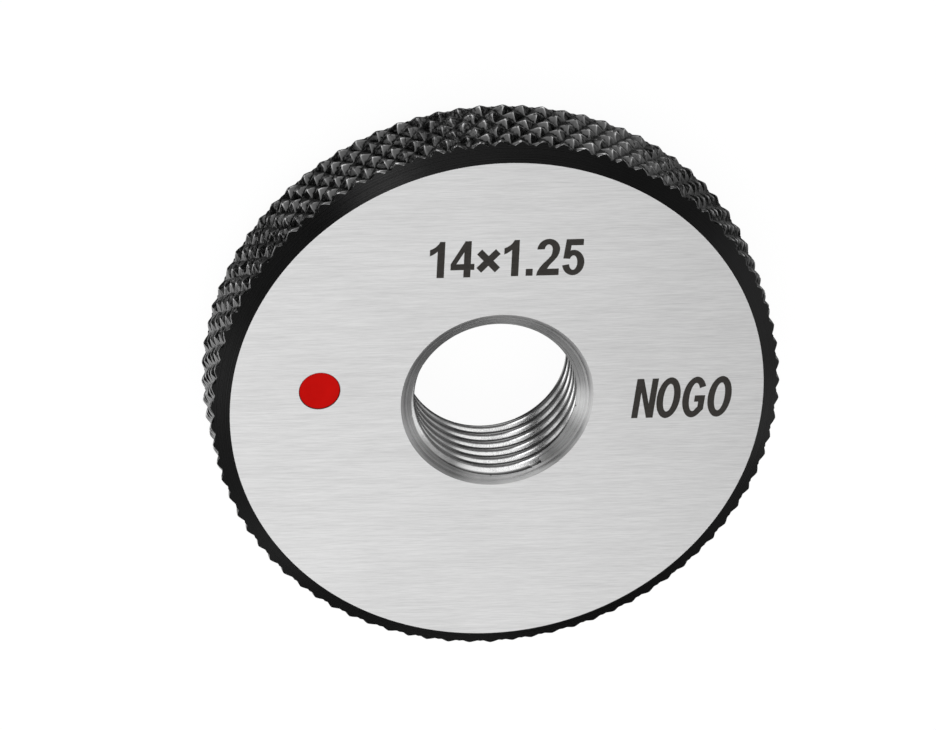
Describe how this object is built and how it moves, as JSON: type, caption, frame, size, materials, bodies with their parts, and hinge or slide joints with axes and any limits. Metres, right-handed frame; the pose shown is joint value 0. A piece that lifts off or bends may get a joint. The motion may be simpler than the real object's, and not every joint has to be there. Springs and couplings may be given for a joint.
{
  "type": "thread ring gauge",
  "caption": "Knurled steel ring with a truncated internal screw thread and a red enamel spot, for checking that a screw's thread is not undersize.",
  "frame": {"origin": "centre of the bottom face, on the ring's axis", "axes": "+Z along the ring's axis, out of the marked face; +Y towards the top of the markings; the red spot lies towards -X"},
  "size_m": [0.045, 0.045, 0.008],
  "materials": {
    "gauge_steel": "ground and brushed faces, black oxide on the knurled rim and bevels, lapped bright thread",
    "red_enamel": "smooth red enamel fill, slightly sunk below the face"
  },
  "bodies": {
    "root": {"ring_body": "gauge_steel", "red_spot": "red_enamel"}
  },
  "joints": []
}
